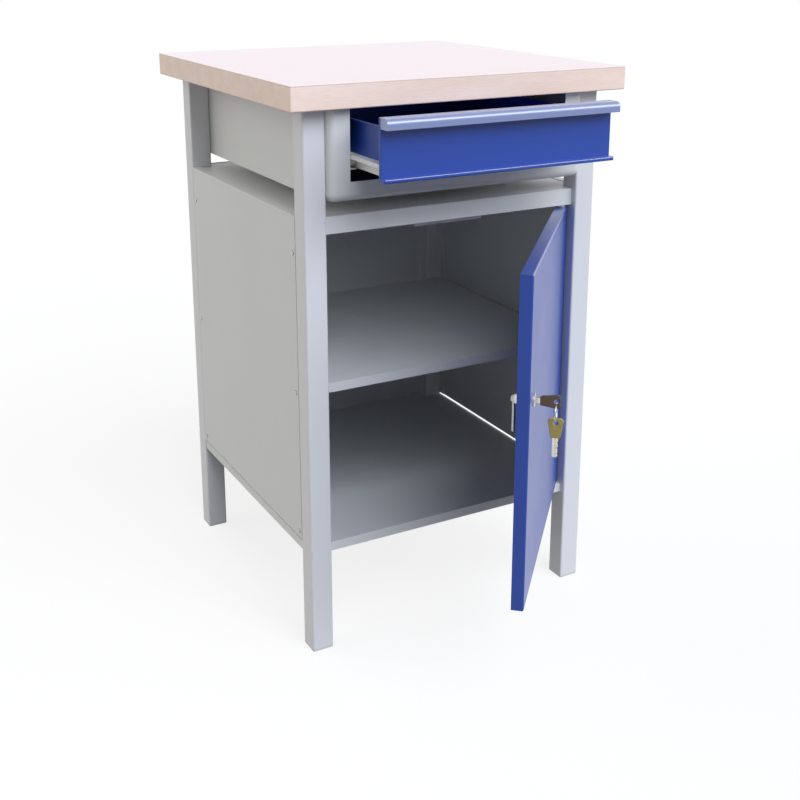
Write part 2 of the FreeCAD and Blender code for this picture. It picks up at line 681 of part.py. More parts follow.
def cabinet_sheets():
    """Top sheet with its deep front rail, middle shelf and bottom shelf."""
    top = notched_tray("(panel_inside - seat_gap)", "tray_fold", "cabinet_top_height")
    rail = block(
        ("-leg_inner + seat_gap", "leg_inner - seat_gap"), ("cabinet_front", "cabinet_front + sheet_gauge"),
        ("rail_bottom", "cabinet_top_height"))
    placed(joined(top, rail), "cabinet_top")

    slab = block(
        ("-shelf_half", "shelf_half"), ("-shelf_end", "shelf_end"), ("shelf_foot", "middle_shelf_height"))
    hollow = block(
        ("-shelf_half + sheet_gauge", "shelf_half - sheet_gauge"),
        ("-shelf_end + sheet_gauge", "shelf_end - sheet_gauge"),
        ("shelf_foot - overrun", "middle_shelf_height - sheet_gauge"))
    placed(less(slab, hollow), "middle_shelf")

    tray = notched_tray("bottom_half", "bottom_lip", "bottom_shelf_height")
    pin_hole = rod(("pivot_x", "pivot_y", "bottom_shelf_height - overrun"), "Z", "pin_radius", "2 * overrun")
    screw_holes = [
        shelf_screw_rod(across, along, "screw_radius", "-overrun", "overrun")
        for across in (-1, 1) for along in (-1, 1)
    ]
    placed(less(tray, pin_hole, *screw_holes), "bottom_shelf")


def shelf_screws():
    """Screws through the bottom shelf's folds into the legs."""
    screws = []
    for across in (-1, 1):
        for along in (-1, 1):
            seat = "seat_gap + sheet_gauge"
            shank = shelf_screw_rod(across, along, "screw_radius", "-leg_wall - shelf_screw_end", seat)
            head = shelf_screw_rod(across, along, "screw_head_radius", seat, seat + " + screw_head_height")
            screws.append(joined(shank, head))
    placed(group(screws), "shelf_screws")


def shelf_rails():
    """Angle rails on the side panels that carry the middle shelf."""
    ends = ("-panel_end + rail_end_space", "panel_end - rail_end_space")
    web = block(
        ("-panel_inside", "-panel_inside + angle_gauge"), ends, ("shelf_foot - angle_leg", "shelf_foot"))
    flange = block(
        ("-panel_inside", "-panel_inside + angle_leg"), ends, ("shelf_foot - angle_gauge", "shelf_foot"))
    pair(joined(web, flange), "shelf_rail_left", "shelf_rail_right")


def hinge_pins():
    """Fixed pins that the door turns on, and the stop that it closes against."""
    lower_start = "bottom_shelf_height - sheet_gauge - pin_nut_height"
    shaft = rod(("pivot_x", "pivot_y", lower_start), "Z", "pin_radius",
                "sheet_gauge + pin_nut_height + door_foot_gap + pin_engage")
    collar = rod(("pivot_x", "pivot_y", "bottom_shelf_height"), "Z", "collar_radius",
                 "door_foot_gap - seat_gap")
    nut = hexagon(("pivot_x", "pivot_y", lower_start), "Z", "pin_nut_radius", "pin_nut_height")
    placed(joined(shaft, collar, nut), "hinge_pin_lower")

    behind_rail = "(cabinet_front + sheet_gauge)"
    across = ("pivot_x - bracket_width / 2", "leg_inner - seat_gap - sheet_gauge")
    tab_height = "(rail_bottom + seat_gap)"
    plate = block(across, (behind_rail, behind_rail + " + angle_gauge"),
                  (tab_height, "cabinet_top_height - sheet_gauge"))
    tab = block(across, (behind_rail, behind_rail + " + bracket_reach"),
                (tab_height, tab_height + " + angle_gauge"))
    pin = rod(("pivot_x", "pivot_y", "door_top - pin_engage"), "Z", "pin_radius",
              "pin_engage + door_head_gap + seat_gap + angle_gauge")
    sleeve = rod(("pivot_x", "pivot_y", "door_top + seat_gap"), "Z", "collar_radius",
                 "door_head_gap + angle_gauge")
    placed(joined(plate, tab, pin, sleeve), "hinge_bracket_upper")

    behind_door = "(door_back + seat_gap)"
    underside = "(cabinet_top_height - sheet_gauge)"
    half = "stop_width / 2"
    flap = block(("-" + half, half), (behind_door, behind_door + " + angle_gauge"),
                 ("door_top - stop_overlap", underside))
    seat = block(("-" + half, half), (behind_door, behind_door + " + angle_leg"),
                 (underside + " - angle_gauge", underside))
    placed(joined(flap, seat), "door_stop")


def door():
    """Folded steel door pan with its middle stiffener."""
    outer = padded_body(("-door_half", "door_half"), ("door_face", "door_back"), ("door_bottom", "door_top"))
    rounded(outer, "door_round", on_plane("y", places.door_face))
    hollow = block(
        ("-door_half + sheet_gauge", "door_half - sheet_gauge"),
        ("door_face + sheet_gauge", "door_back - sheet_gauge"),
        ("door_bottom + sheet_gauge", "door_top - sheet_gauge"))
    window = block(
        ("-door_half + door_lip", "door_half - door_lip"),
        ("door_back - 2 * sheet_gauge", "door_back + overrun"),
        ("door_bottom + door_lip", "door_top - door_lip"))
    bores = [
        rod(("pivot_x", "pivot_y", end + " - overrun"), "Z", "pin_radius + run_gap", "2 * overrun")
        for end in ("door_bottom", "door_top")
    ]
    lock_hole = rod(("lock_x", "door_face - overrun", "lock_height"), "Y", "lock_radius", "2 * overrun")
    placed(less(outer, hollow, window, lock_hole, *bores), "door_pan", "door")

    half = "stiffener_width / 2"
    heights = ("door_bottom + stiffener_end_space", "door_top - stiffener_end_space")
    hat = block(("-" + half, half), ("door_face + sheet_gauge", "door_back"), heights)
    inside = block(
        ("-%s + sheet_gauge" % half, half + " - sheet_gauge"), ("door_face", "door_back - sheet_gauge"),
        ("door_bottom", "door_top"))
    placed(less(hat, inside), "door_stiffener", "door")


def lock_housing():
    """Threaded barrel and flange of the cam lock, with its nut."""
    flange = rod(("lock_x", "flange_face", "lock_height"), "Y", "lock_flange_radius", "lock_flange")
    barrel_end = "(cam_face - seat_gap)"
    barrel = rod(("lock_x", "flange_face", "lock_height"), "Y", "lock_radius", barrel_end + " - flange_face")
    bore = rod(("lock_x", "flange_face - overrun", "lock_height"), "Y", "plug_radius + run_gap",
               barrel_end + " - flange_face + 2 * overrun")
    placed(less(joined(flange, barrel), bore), "lock_housing", "door")
    inside = "(door_face + sheet_gauge)"
    blank = hexagon(("lock_x", inside, "lock_height"), "Y", "lock_nut_radius", "lock_nut_height")
    thread = rod(("lock_x", inside + " - overrun", "lock_height"), "Y", "lock_radius",
                 "lock_nut_height + 2 * overrun")
    placed(less(blank, thread), "lock_nut", "door")


def lock_works():
    """Turning plug, cam, cam screw and the key in the plug."""
    plug_face = "(flange_face - plug_stand)"
    plug = rod(("lock_x", plug_face, "lock_height"), "Y", "plug_radius", "cam_face - " + plug_face)
    keyway = block(
        ("lock_x - key_thickness / 2", "lock_x + key_thickness / 2"),
        (plug_face + " - overrun", plug_face + " + key_depth"),
        ("lock_height - key_width / 2", "lock_height + key_width / 2"))
    tapped = rod(("lock_x", "cam_face - cam_screw_depth", "lock_height"), "Y", "cam_screw_radius",
                 "cam_screw_depth + overrun")
    placed(less(plug, keyway, tapped), "lock_plug", "door")

    plate = block(
        ("lock_x - cam_width / 2", "lock_x + cam_width / 2"), ("cam_face", "cam_face + cam_thickness"),
        ("lock_height - cam_length", "lock_height"))
    ends = [
        rod(("lock_x", "cam_face", height), "Y", "cam_width / 2", "cam_thickness")
        for height in ("lock_height", "lock_height - cam_length")
    ]
    hole = rod(("lock_x", "cam_face - overrun", "lock_height"), "Y", "cam_screw_radius",
               "cam_thickness + 2 * overrun")
    placed(less(joined(plate, *ends), hole), "lock_cam", "door")

    shank = rod(("lock_x", "cam_face - cam_screw_depth", "lock_height"), "Y", "cam_screw_radius",
                "cam_screw_depth + cam_thickness")
    head = rod(("lock_x", "cam_face + cam_thickness", "lock_height"), "Y", "cam_screw_head", "cam_thickness")
    placed(joined(shank, head), "cam_screw", "door")

    blade = block(
        ("lock_x - key_thickness / 2", "lock_x + key_thickness / 2"),
        ("bow_start", plug_face + " + key_depth"),
        ("lock_height - key_width / 2", "lock_height + key_width / 2"))
    placed(blade, "key_blade", "door")
    placed(key_bow(
        ("bow_end", "bow_start"), ("lock_height - bow_height / 2", "lock_height + bow_height / 2"),
        "lock_height"), "key_bow", "door")


def key_bow(y, z, hole_height):
    """Flat moulded bow with round corners and a hole for the ring."""
    bow = padded_body(("lock_x - bow_thickness / 2", "lock_x + bow_thickness / 2"), y, z)
    rounded(bow, "bow_round", lambda start, end: same(start.y, end.y) and same(start.z, end.z))
    hole = rod(("lock_x - overrun", "ring_y", hole_height), "X", "bow_hole", "2 * overrun")
    return less(bow, hole)


def key_ring():
    """Wire ring through the bow, and the spare key that hangs on it."""
    ring = doc.addObject("Part::Torus", "ring")
    ring.Placement = FreeCAD.Placement(
        FreeCAD.Vector(), FreeCAD.Rotation(FreeCAD.Vector(1, 0, 0), -QUARTER_TURN))
    bind(ring, Placement__Base__x="lock_x", Placement__Base__y="ring_y", Placement__Base__z="ring_height")
    bind(ring, Radius1="ring_radius", Radius2="ring_wire")
    placed(ring, "key_ring", "door")
    placed(key_bow(
        ("ring_y - spare_bow_width / 2", "ring_y + spare_bow_width / 2"),
        ("spare_bow_foot", "spare_bow_top"), "spare_hole"), "spare_key_bow", "door")
    placed(block(
        ("lock_x - key_thickness / 2", "lock_x + key_thickness / 2"),
        ("ring_y - key_width / 2", "ring_y + key_width / 2"),
        ("spare_bow_foot - spare_blade", "spare_bow_foot")), "spare_key_blade", "door")


def drawer_tray():
    """Folded sheet tray of the drawer: floor, sides, back and inner front."""
    ends = ("front_back", "box_rear")
    wall = block(("-box_half", "-box_half + sheet_gauge"), ends, ("box_foot", "box_top"))
    hem = block(
        ("-box_half - box_hem", "-box_half + sheet_gauge"), ends, ("box_top - sheet_gauge", "box_top"))
    pair(joined(wall, hem), "drawer_side_left", "drawer_side_right", "drawer")
    inside = ("-box_half + sheet_gauge", "box_half - sheet_gauge")
    floor = "(box_foot + box_floor)"
    placed(block(inside, ends, (floor, floor + " + sheet_gauge")), "drawer_floor", "drawer")
    back_heights = (floor + " + sheet_gauge", "box_top - box_back_drop")
    placed(block(inside, ("box_rear - sheet_gauge", "box_rear"), back_heights), "drawer_back", "drawer")
    placed(block(
        ("-front_half + sheet_gauge", "front_half - sheet_gauge"), ("front_back - sheet_gauge", "front_back"),
        ("front_foot + sheet_gauge", "front_head - sheet_gauge")), "drawer_inner_front", "drawer")


def drawer_front():
    """Hollow front pan with its lower lip, the full-width grip and the screws behind."""
    across = ("-front_half", "front_half")
    outer = padded_body(across, ("front_face", "front_back"), ("front_foot", "front_head"))
    rounded(outer, "front_round", on_plane("y", places.front_face))
    hollow = block(
        ("-front_half + sheet_gauge", "front_half - sheet_gauge"),
        ("front_face + sheet_gauge", "front_back + overrun"),
        ("front_foot + sheet_gauge", "front_head - sheet_gauge"))
    lip = padded_body(
        across, ("front_face - lip_reach", "front_face + sheet_gauge"),
        ("front_foot", "front_foot + lip_height"))
    rounded(lip, "lip_round", on_plane("y", places.front_face - sizes.lip_reach))
    placed(joined(less(outer, hollow), lip), "drawer_front", "drawer")

    bar = padded_body(across, ("grip_nose", "front_face"), ("grip_foot", "front_head"))
    rounded(bar, "grip_round", on_line(places.grip_nose, places.front_head))
    inner_across = ("-front_half + grip_gauge", "front_half - grip_gauge")
    hollow = padded_body(
        inner_across, ("grip_nose + grip_gauge", "front_face + overrun"),
        ("grip_foot + grip_gauge", "front_head - grip_gauge"))
    rounded(hollow, "grip_round - grip_gauge", on_line(
        places.grip_nose + sizes.grip_gauge, places.front_head - sizes.grip_gauge))
    mouth = block(
        inner_across, ("grip_nose + grip_return", "front_face + overrun"),
        ("grip_foot - overrun", "grip_foot + 2 * grip_gauge"))
    placed(less(bar, hollow, mouth), "drawer_grip", "drawer")

    heads = []
    height = "(box_foot + box_top) / 2"
    for side in (-1, 1):
        heads.append(rod(
            ("%d * front_screw_pitch / 2" % side, "front_back", height), "Y",
            "front_screw_radius", "front_screw_head"))
    placed(group(heads), "front_screws", "drawer")


def drawer_runners():
    """Moving half of the roller runners, along the drawer's sides."""
    ends = ("front_back", "box_rear")
    web = block(("-box_half - runner_gauge", "-box_half"), ends, ("box_foot", "runner_top"))
    top = block(("-runner_outside", "-box_half"), ends, ("runner_top - runner_gauge", "runner_top"))
    lip = block(
        ("-runner_outside", "-runner_outside + runner_gauge"), ends,
        ("runner_top - runner_lip", "runner_top"))
    pin = rod(("-roller_inner - roller_width - roller_gap / 2", "rear_roller_y", "rear_roller_z"), "X",
              "roller_pin", "roller_width + roller_gap + roller_gap / 2")
    pair(joined(web, top, lip, pin), "drawer_runner_left", "drawer_runner_right", "drawer")


def main():
    """Build every sub-part, test it and write it."""
    for corner, across, along in (
            ("front_left", -1, -1), ("front_right", 1, -1), ("rear_left", -1, 1), ("rear_right", 1, 1)):
        leg_and_plug(corner, across, along)
    worktop()
    worktop_screws()
    carcass()
    runner_channels()
    rollers()
    side_panels()
    panel_rivets()
    back_panel()
    cabinet_sheets()
    shelf_rails()
    shelf_screws()
    hinge_pins()
    door()
    lock_housing()
    lock_works()
    key_ring()
    drawer_tray()
    drawer_front()
    drawer_runners()
    doc.recompute()
    check()
    for item in finished:
        item.Shape.exportStep("parts/%s.step" % item.Label)
    whole = finished[0].Shape.BoundBox
    for item in finished:
        whole.add(item.Shape.BoundBox)
    print("sub-parts", len(finished))
    print("box", [round(value, 2) for value in (
        whole.XMin, whole.YMin, whole.ZMin, whole.XMax, whole.YMax, whole.ZMax)])


def check():
    """Stop before anything is written if an object failed or a shape isn't sound."""
    for item in doc.Objects:
        if "Invalid" in item.State or "Error" in item.State:
            raise RuntimeError("%s (%s) failed: %s" % (item.Name, item.Label, item.State))
    for item in finished:
        if item.Shape.isNull() or not item.Shape.isValid() or not item.Shape.Solids:
            raise RuntimeError("%s has no sound shape" % item.Label)


main()
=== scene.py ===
# %% [markdown]
# # A small workbench with a drawer and a door
#
# The real bench is a welded steel frame with a cupboard of folded sheet, all in light grey powder coat.
# A thick beech board lies on top, and the drawer and the door are coated in blue. This lesson dresses
# the construction model: it gives every sheet and tube its coat, softens the edges, and models the small
# parts that the eye looks for, which are the bows of both keys, the second key's blade with its cuts, and
# the ring that this key hangs on.

# %% Load the frame
import json
import math

import bmesh
import bpy
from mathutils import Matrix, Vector


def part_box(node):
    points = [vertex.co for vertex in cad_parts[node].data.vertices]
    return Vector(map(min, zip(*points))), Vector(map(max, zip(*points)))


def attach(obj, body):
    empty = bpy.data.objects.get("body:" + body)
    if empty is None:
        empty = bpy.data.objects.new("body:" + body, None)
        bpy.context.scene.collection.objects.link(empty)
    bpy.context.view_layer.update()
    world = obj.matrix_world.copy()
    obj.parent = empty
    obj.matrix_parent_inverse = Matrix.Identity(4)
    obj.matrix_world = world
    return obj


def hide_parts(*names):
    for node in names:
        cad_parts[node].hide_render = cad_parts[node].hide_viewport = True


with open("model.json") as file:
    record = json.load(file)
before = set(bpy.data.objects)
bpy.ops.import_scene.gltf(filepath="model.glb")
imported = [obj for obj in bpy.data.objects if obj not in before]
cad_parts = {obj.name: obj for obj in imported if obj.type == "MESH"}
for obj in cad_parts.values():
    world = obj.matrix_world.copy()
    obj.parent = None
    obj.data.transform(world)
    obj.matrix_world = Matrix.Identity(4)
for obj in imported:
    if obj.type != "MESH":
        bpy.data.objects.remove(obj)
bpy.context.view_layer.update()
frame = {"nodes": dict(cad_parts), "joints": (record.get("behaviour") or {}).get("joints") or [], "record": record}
scene = bpy.context.scene
nodes = frame["nodes"]
MM = 0.001
print("nodes in the frame:", len(nodes))

# %% [markdown]
# ## Where things are
#
# Every place is read from the frame, so this file follows the construction model. The height of the
# bench and the middle of its board are used again below, so they get names here.

# %% Main places
top_low, top_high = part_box("worktop")
bench_middle = (top_low + top_high) / 2
bench_height = top_high.z
print("height in mm:", round(bench_height / MM), "middle of the top:", [round(v, 3) for v in bench_middle])

# %% [markdown]
# ## Camera
#
# The photograph was taken from the front left, a little above the top. Its place was found by fitting a
# camera to the corners of the top and to the feet. The bench stands a little above the middle of the
# picture although the camera looks down on it, and the vertical shift of the lens gives that.

# %% Camera
CAMERA_PLACE_MM = (-921.0, -1758.4, 1075.0)
CAMERA_TURN = 28.63
CAMERA_DIP = 15.49
CAMERA_LENS = 53.43
CAMERA_SHIFT = -0.16
SENSOR_WIDTH = 36
LEVEL = 90


def make_camera():
    """Put the camera where the photograph was taken."""
    data = bpy.data.cameras.new("camera")
    data.sensor_width = SENSOR_WIDTH
    data.lens = CAMERA_LENS
    data.shift_y = CAMERA_SHIFT
    camera = bpy.data.objects.new("camera", data)
    scene.collection.objects.link(camera)
    camera.location = Vector(CAMERA_PLACE_MM) * MM + Vector((0, bench_middle.y, 0))
    camera.rotation_euler = (math.radians(LEVEL - CAMERA_DIP), 0, math.radians(-CAMERA_TURN))
    scene.camera = camera


make_camera()
scene.view_settings.view_transform = "Standard"
print("camera at", [round(v, 3) for v in scene.camera.location])

# %% [markdown]
# ## Helpers for colours and nodes
#
# Colours are written as they are seen on a screen and turned to linear light by one function. One small
# function adds a node, sets it and links it, so that each material below reads as a short list. Pattern
# scales are worked out from the size of the real thing in millimetres.

# %% Colour and node helpers
def linear(code):
    """Turn an sRGB hex colour into a linear RGBA one."""
    channels = [int(code[place:place + 2], 16) / 255 for place in (0, 2, 4)]
    return [c / 12.92 if c <= 0.04045 else ((c + 0.055) / 1.055) ** 2.4 for c in channels] + [1]


def add(tree, kind, inputs=None, **settings):
    """Add a node; an input is a value or another node's output."""
    node = tree.nodes.new(kind)
    for name, value in settings.items():
        setattr(node, name, value)
    for name, value in (inputs or {}).items():
        if isinstance(value, bpy.types.NodeSocket):
            tree.links.new(value, node.inputs[name])
        else:
            node.inputs[name].default_value = value
    return node


def new_material(name):
    """Make an empty material and return it with its node tree."""
    material = bpy.data.materials.new(name)
    material.use_nodes = True
    material.node_tree.nodes.clear()
    return material, material.node_tree


def per_mm(size):
    """Pattern scale for features of this size in millimetres."""
    return 1 / (size * MM)


print("linear mid grey:", round(linear("808080")[0], 3))

# %% [markdown]
# ## Powder coat on steel
#
# Epoxy powder melts on the sheet and sets with a fine orange peel, about 1 to 2 mm from hump to hump. The
# coat is a little glossy, so it shows soft reflections that the peel breaks up. A slow change of tone over
# some 15 cm keeps large panels from looking like paper. The same recipe serves all the coats, because the
# real ones differ only in pigment.
#
# Faces of the blue coat that look up, the rims of the door and of the drawer, get a glossier layer over the
# coat. This is a painted sheen that shines pale, and the upward part of each face's direction says where it
# lies. The grip has that painted sheen all round but for its underside.

# %% Powder coat
PEEL_MM = 1.6
TONE_MM = 150
GLOSS_SPREAD = 0.05
SHEEN_COAT_ROUGHNESS = 0.3
SHEEN_COAT_IOR = 2.3
SHEEN_FADE = 0.5
ON_UPWARD_FACES = 0.1
ALL_ROUND = -1.0


def powder_coat(name, tone, deep_tone, roughness, peel_height, ior=1.5, sheen_from=None):
    """Epoxy powder coat: two close tones, orange peel, uneven gloss and, on faces that look up, a painted sheen.
    """
    material, tree = new_material(name)
    place = add(tree, "ShaderNodeTexCoord").outputs["Object"]
    patches = add(tree, "ShaderNodeTexNoise", {"Vector": place, "Scale": per_mm(TONE_MM), "Detail": 3.0})
    tones = add(tree, "ShaderNodeMix", {
        "Factor": patches.outputs["Fac"], "A": linear(deep_tone), "B": linear(tone)}, data_type="RGBA")
    peel = add(tree, "ShaderNodeTexNoise", {"Vector": place, "Scale": per_mm(PEEL_MM), "Detail": 1.0})
    bump = add(tree, "ShaderNodeBump", {
        "Height": peel.outputs["Fac"], "Distance": peel_height * MM, "Strength": 1.0})
    gloss = add(tree, "ShaderNodeMapRange", {
        "Value": patches.outputs["Fac"],
        "To Min": roughness - GLOSS_SPREAD, "To Max": roughness + GLOSS_SPREAD})
    coat = add(tree, "ShaderNodeBsdfPrincipled", {
        "Base Color": tones.outputs["Result"], "Roughness": gloss.outputs["Result"], "IOR": ior,
        "Normal": bump.outputs["Normal"], "Coat Roughness": SHEEN_COAT_ROUGHNESS, "Coat IOR": SHEEN_COAT_IOR})
    # painted sheen: a glossier coat layer, weighted by how much each face looks up
    if sheen_from is not None:
        facing = add(tree, "ShaderNodeSeparateXYZ", {
            "Vector": add(tree, "ShaderNodeNewGeometry").outputs["Normal"]}).outputs["Z"]
        sheen_share = add(tree, "ShaderNodeMapRange", {
            "Value": facing, "From Min": sheen_from, "From Max": sheen_from + SHEEN_FADE})
        tree.links.new(sheen_share.outputs["Result"], coat.inputs["Coat Weight"])
    add(tree, "ShaderNodeOutputMaterial", {"Surface": coat.outputs["BSDF"]})
    return material


leg_coat = powder_coat("legs_powder_coat_light_grey", "e0e1e4", "d7d9dc", 0.38, 0.03)
cabinet_coat = powder_coat("cabinet_powder_coat_light_grey", "dddfdf", "d3d6d6", 0.42, 0.03)
# the blue coat's upward faces carry the painted sheen layer
blue_coat = powder_coat(
    "door_powder_coat_ultramarine", "2449a3", "1d3f98", 0.30, 0.03, ior=1.46, sheen_from=ON_UPWARD_FACES)
# the grip's paler blue is a painted highlight, and its all-round coat layer a painted sheen
grip_coat = powder_coat(
    "grip_powder_coat_ultramarine_painted_sheen", "4864a6", "3d5a99", 0.25, 0.02, sheen_from=ALL_ROUND)
white_coat = powder_coat("runner_epoxy_white", "f4f4f3", "ececea", 0.35, 0.02)
print("coats:", [coat.name for coat in (leg_coat, cabinet_coat, blue_coat, grip_coat, white_coat)])

# %% [markdown]
# ## Beech board
#
# The top is a glued board of pale beech, finished with a white soap. The staves are so well matched that
# their joints don't show. On the sawn edges the eye sees slow clouds of pink and cream along the grain,
# short darker flecks, and a darker line where the arris is sanded through to the wood. The upper face gets
# paler colours, painted light for the stronger light that falls on it from above. The clouds and the flecks
# are noises that are stretched along the board, and the flecks also stand out a little from the surface.

# %% Beech board
CLOUD_MM = 22
CLOUD_FROM, CLOUD_TO = 0.35, 0.65
FLECK_MM = 2.2
FLECK_FROM, FLECK_TO, FLECK_SHARE = 0.45, 0.75, 0.35
FLECK_HEIGHT_MM = 0.05
ARRIS_MM = 2.5
ARRIS_FULL_MM = 1
UPWARD_FROM, UPWARD_TO = 0.5, 0.9
ALONG_GRAIN = 0.12
PINK, CREAM, FLECK, SANDED = "f3dbcc", "f9e4da", "e2c6b4", "bfa392"
# painted light: the upper face's paler colours stand in for the stronger light from above
TOP_PAINTED_LIGHT, TOP_PAINTED_LIGHT_FLECK = "f5e9eb", "efdfdf"
SOAP_ROUGHNESS = 0.5


def beech_board():
    """Glued beech board with clouds and flecks along the grain and a darker line at its arris."""
    material, tree = new_material("worktop_glued_beech_board")
    place = add(tree, "ShaderNodeTexCoord").outputs["Object"]
    stretched = add(tree, "ShaderNodeMapping", {"Vector": place, "Scale": (ALONG_GRAIN, 1.0, 1.0)})
    grain_place = stretched.outputs["Vector"]
    clouds = add(tree, "ShaderNodeTexNoise", {
        "Vector": grain_place, "Scale": per_mm(CLOUD_MM), "Detail": 3.0})
    cloud_share = add(tree, "ShaderNodeMapRange", {
        "Value": clouds.outputs["Fac"], "From Min": CLOUD_FROM, "From Max": CLOUD_TO})
    ground = add(tree, "ShaderNodeMix", {
        "Factor": cloud_share.outputs["Result"], "A": linear(PINK), "B": linear(CREAM)}, data_type="RGBA")
    flecks = add(tree, "ShaderNodeTexNoise", {
        "Vector": grain_place, "Scale": per_mm(FLECK_MM), "Detail": 4.0})
    fleck_share = add(tree, "ShaderNodeMapRange", {
        "Value": flecks.outputs["Fac"], "From Min": FLECK_FROM, "From Max": FLECK_TO, "To Max": FLECK_SHARE})
    wood = add(tree, "ShaderNodeMix", {
        "Factor": fleck_share.outputs["Result"], "A": ground.outputs["Result"], "B": linear(FLECK)},
        data_type="RGBA")
    height = add(tree, "ShaderNodeSeparateXYZ", {"Vector": place}).outputs["Z"]
    arris = add(tree, "ShaderNodeMapRange", {
        "Value": height, "From Min": bench_height - ARRIS_MM * MM,
        "From Max": bench_height - ARRIS_FULL_MM * MM}, interpolation_type="SMOOTHSTEP")
    edge = add(tree, "ShaderNodeMix", {
        "Factor": arris.outputs["Result"], "A": wood.outputs["Result"], "B": linear(SANDED)},
        data_type="RGBA")
    # painted light: faces that look up get the paler colours
    upward = add(tree, "ShaderNodeSeparateXYZ", {
        "Vector": add(tree, "ShaderNodeNewGeometry").outputs["Normal"]}).outputs["Z"]
    top_share = add(tree, "ShaderNodeMapRange", {
        "Value": upward, "From Min": UPWARD_FROM, "From Max": UPWARD_TO})
    pale = add(tree, "ShaderNodeMix", {
        "Factor": fleck_share.outputs["Result"], "A": linear(TOP_PAINTED_LIGHT), "B": linear(TOP_PAINTED_LIGHT_FLECK)},
        data_type="RGBA")
    colour = add(tree, "ShaderNodeMix", {
        "Factor": top_share.outputs["Result"], "A": edge.outputs["Result"], "B": pale.outputs["Result"]},
        data_type="RGBA")
    grain = add(tree, "ShaderNodeBump", {
        "Height": flecks.outputs["Fac"], "Distance": FLECK_HEIGHT_MM * MM, "Strength": 1.0})
    surface = add(tree, "ShaderNodeBsdfPrincipled", {
        "Base Color": colour.outputs["Result"], "Roughness": SOAP_ROUGHNESS, "IOR": 1.5,
        "Normal": grain.outputs["Normal"]})
    add(tree, "ShaderNodeOutputMaterial", {"Surface": surface.outputs["BSDF"]})
    return material


board_wood = beech_board()
print("board:", board_wood.name)

# %% [markdown]
# ## Plated metal
#
# Screws, rivets and the cam are zinc-plated: grey, with cloudy patches and a soft shine. The lock, the
# keys' blades and the ring are nickel-plated, so they are warmer and smoother. Both are metals with a
# noise in their tone and in their roughness: where the plating is paler, it also shines more.

# %% Plated metal
DULLER_BY = 0.12
SHINIER_BY = 0.08


def plated(name, tone, dull_tone, roughness, cloud_mm):
    """Plated metal with cloudy patches of tone and shine."""
    material, tree = new_material(name)
    place = add(tree, "ShaderNodeTexCoord").outputs["Object"]
    clouds = add(tree, "ShaderNodeTexNoise", {"Vector": place, "Scale": per_mm(cloud_mm), "Detail": 4.0})
    tones = add(tree, "ShaderNodeMix", {
        "Factor": clouds.outputs["Fac"], "A": linear(dull_tone), "B": linear(tone)}, data_type="RGBA")
    shine = add(tree, "ShaderNodeMapRange", {
        "Value": clouds.outputs["Fac"], "To Min": roughness + DULLER_BY, "To Max": roughness - SHINIER_BY})
    metal = add(tree, "ShaderNodeBsdfPrincipled", {
        "Base Color": tones.outputs["Result"], "Roughness": shine.outputs["Result"], "Metallic": 1.0})
    add(tree, "ShaderNodeOutputMaterial", {"Surface": metal.outputs["BSDF"]})
    return material


zinc = plated("fasteners_zinc_plated_steel", "c9c9c6", "9c9d9c", 0.35, 4)
nickel = plated("lock_nickel_plated_brass", "e4e2dc", "bdbab2", 0.22, 6)
print("plated:", zinc.name, nickel.name)

# %% [markdown]
# ## Moulded plastic
#
# The foot plugs are grey polyethylene, the rollers natural nylon and the key bows ABS. Moulded plastic
# shows the fine grain of its mould, half a millimetre or so, as a faint unevenness of tone and height.

# %% Moulded plastic
GRAIN_MM = 0.6
GRAIN_HEIGHT_MM = 0.03


def moulded(name, tone, deep_tone, roughness):
    """Moulded plastic with mould grain."""
    material, tree = new_material(name)
    place = add(tree, "ShaderNodeTexCoord").outputs["Object"]
    grain = add(tree, "ShaderNodeTexNoise", {"Vector": place, "Scale": per_mm(GRAIN_MM), "Detail": 2.0})
    tones = add(tree, "ShaderNodeMix", {
        "Factor": grain.outputs["Fac"], "A": linear(deep_tone), "B": linear(tone)}, data_type="RGBA")
    bump = add(tree, "ShaderNodeBump", {
        "Height": grain.outputs["Fac"], "Distance": GRAIN_HEIGHT_MM * MM, "Strength": 1.0})
    plastic = add(tree, "ShaderNodeBsdfPrincipled", {
        "Base Color": tones.outputs["Result"], "Roughness": roughness, "IOR": 1.5,
        "Normal": bump.outputs["Normal"]})
    add(tree, "ShaderNodeOutputMaterial", {"Surface": plastic.outputs["BSDF"]})
    return material


foot_plastic = moulded("foot_plug_polyethylene_grey", "d6d8da", "cccfd1", 0.5)
roller_nylon = moulded("roller_nylon_natural", "e8e6da", "dcd9cb", 0.4)
bow_plastic = moulded("key_bow_abs_olive", "b3a45a", "998a46", 0.45)
brown_plastic = moulded("key_bow_abs_brown", "5d4a3c", "4b3a2e", 0.45)
print("plastics:", foot_plastic.name, roller_nylon.name, bow_plastic.name, brown_plastic.name)

# %% [markdown]
# ## Dress the frame
#
# Each node of the frame names the slot that its finish comes from. A table from slot to material dresses
# them all in one loop. The grip shares the door's slot but gets its own paler coat, a painted highlight.

# %% Give each node its material
FINISHES = {
    "legs": leg_coat, "feet": foot_plastic, "board": board_wood, "zinc": zinc, "cabinet_paint": cabinet_coat,
    "runner_white": white_coat, "roller_nylon": roller_nylon, "door_paint": blue_coat, "nickel": nickel,
    "bow_plastic": bow_plastic,
}


def dress_nodes():
    """Give every node the material of its slot."""
    for part in frame["record"]["subparts"]:
        piece = nodes[part["node"]]
        piece.data.materials.clear()
        piece.data.materials.append(FINISHES[part["material_slot"]])


dress_nodes()
# the grip gets its own paler coat, a painted highlight
nodes["drawer_grip"].data.materials[0] = grip_coat

